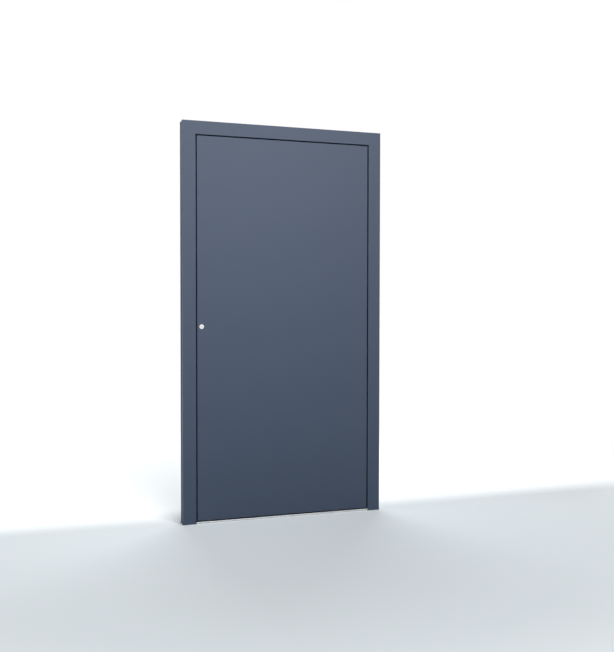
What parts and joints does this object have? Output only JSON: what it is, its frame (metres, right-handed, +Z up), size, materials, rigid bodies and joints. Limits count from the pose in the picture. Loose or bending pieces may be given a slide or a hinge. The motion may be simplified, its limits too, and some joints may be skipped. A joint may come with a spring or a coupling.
{
  "type": "aluminium front door",
  "caption": "Flush single-leaf aluminium front door in a mitred, thermally broken frame with a flat sill; the leaf opens inwards on barrel hinges.",
  "frame": {"origin": "on the floor, at the middle of the sill's underside, halfway through the frame's depth", "axes": "+Z up, +X to the right seen from outside, +Y from outside to inside"},
  "size_m": [1.1, 0.1425, 2.1],
  "materials": {
    "powder_coat": "matte fine-textured powder coat",
    "anodised_aluminium": "natural anodised, satin",
    "polyamide": "extruded, matte",
    "rubber": "extruded, matte",
    "stainless_steel": "brushed",
    "nickel_plate": "satin nickel plate"
  },
  "bodies": {
    "frame": {"bottom_hinge_frame_half": "stainless_steel", "frame_bars": "polyamide", "head_inner_shell": "powder_coat", "head_outer_shell": "powder_coat", "hinge_jamb_inner_shell": "powder_coat", "hinge_jamb_outer_shell": "powder_coat", "hinge_pins": "stainless_steel", "hook_strike_plates": "stainless_steel", "inner_gasket": "rubber", "lock_jamb_inner_shell": "powder_coat", "lock_jamb_outer_shell": "powder_coat", "main_strike_plate": "stainless_steel", "middle_hinge_frame_half": "stainless_steel", "outer_gasket": "rubber", "sill_base": "polyamide", "sill_inner_cover": "anodised_aluminium", "sill_outer_cover": "anodised_aluminium", "top_hinge_frame_half": "stainless_steel"},
    "leaf": {"bottom_hinge_leaf_half": "stainless_steel", "bottom_rail_inner_shell": "powder_coat", "bottom_rail_outer_shell": "powder_coat", "bottom_seal": "rubber", "cylinder_plug": "nickel_plate", "cylinder_rosette": "stainless_steel", "dead_bolt": "stainless_steel", "hinge_stile_inner_shell": "powder_coat", "hinge_stile_outer_shell": "powder_coat", "hook_bolts": "stainless_steel", "inner_sheet": "powder_coat", "latch": "stainless_steel", "leaf_bars": "polyamide", "lever_handle": "stainless_steel", "lever_rosette": "stainless_steel", "lock_cylinder": "nickel_plate", "lock_faceplate": "stainless_steel", "lock_stile_inner_shell": "powder_coat", "lock_stile_outer_shell": "powder_coat", "middle_hinge_leaf_half": "stainless_steel", "outer_sheet": "powder_coat", "top_hinge_leaf_half": "stainless_steel", "top_rail_inner_shell": "powder_coat", "top_rail_outer_shell": "powder_coat"}
  },
  "joints": [
    {"name": "leaf_swing", "type": "hinge", "parent": "frame", "child": "leaf", "pos_m": [0.5135, 0.0495, 0], "axis": [0, 0, -1], "range_deg": [0, 100]}
  ]
}
